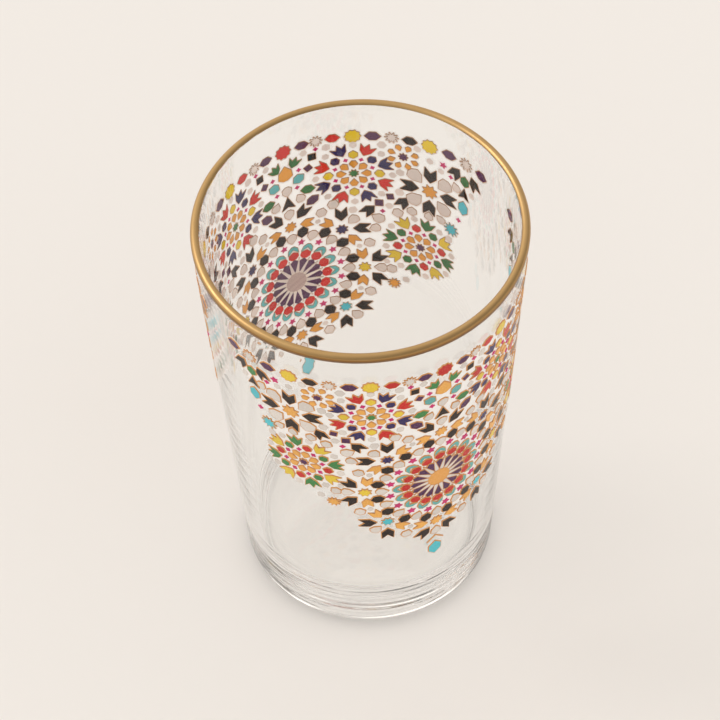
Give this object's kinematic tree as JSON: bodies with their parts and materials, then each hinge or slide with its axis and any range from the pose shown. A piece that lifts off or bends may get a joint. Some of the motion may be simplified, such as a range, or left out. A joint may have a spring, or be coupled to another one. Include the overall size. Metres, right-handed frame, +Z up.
{
  "type": "moroccan tea glass",
  "caption": "Straight tapered clear tea glass with a heavy base, a gilded rim and a mosaic-tile print in fired enamel, standing on a flat foot ring",
  "frame": {"origin": "middle of the flat face that the glass stands on", "axes": "+Z up along the axis of the glass, -Y towards the front as pictured, +X to the right"},
  "size_m": [0.064, 0.064, 0.095],
  "materials": {
    "clear_glass": "clear, fire-polished",
    "gilding": "bright fired gold",
    "gold_print": "satin fired gold",
    "enamel_medallions": "glossy fired enamel",
    "enamel_pale": "glossy fired enamel",
    "enamel_black": "glossy fired enamel",
    "enamel_red": "glossy fired enamel",
    "enamel_yellow": "glossy fired enamel",
    "enamel_green": "glossy fired enamel",
    "enamel_teal": "glossy fired enamel",
    "enamel_turquoise": "glossy fired enamel",
    "enamel_aubergine": "glossy fired enamel",
    "enamel_navy": "glossy fired enamel",
    "enamel_orange": "glossy fired enamel",
    "enamel_magenta": "glossy fired enamel"
  },
  "bodies": {
    "root": {"glass_body": "clear_glass", "gilded_rim": "gilding", "gold_linework": "gold_print", "enamel_medallions": "enamel_medallions", "enamel_pale": "enamel_pale", "enamel_black": "enamel_black", "enamel_red": "enamel_red", "enamel_yellow": "enamel_yellow", "enamel_green": "enamel_green", "enamel_teal": "enamel_teal", "enamel_turquoise": "enamel_turquoise", "enamel_aubergine": "enamel_aubergine", "enamel_navy": "enamel_navy", "enamel_orange": "enamel_orange", "enamel_magenta": "enamel_magenta"}
  },
  "joints": []
}
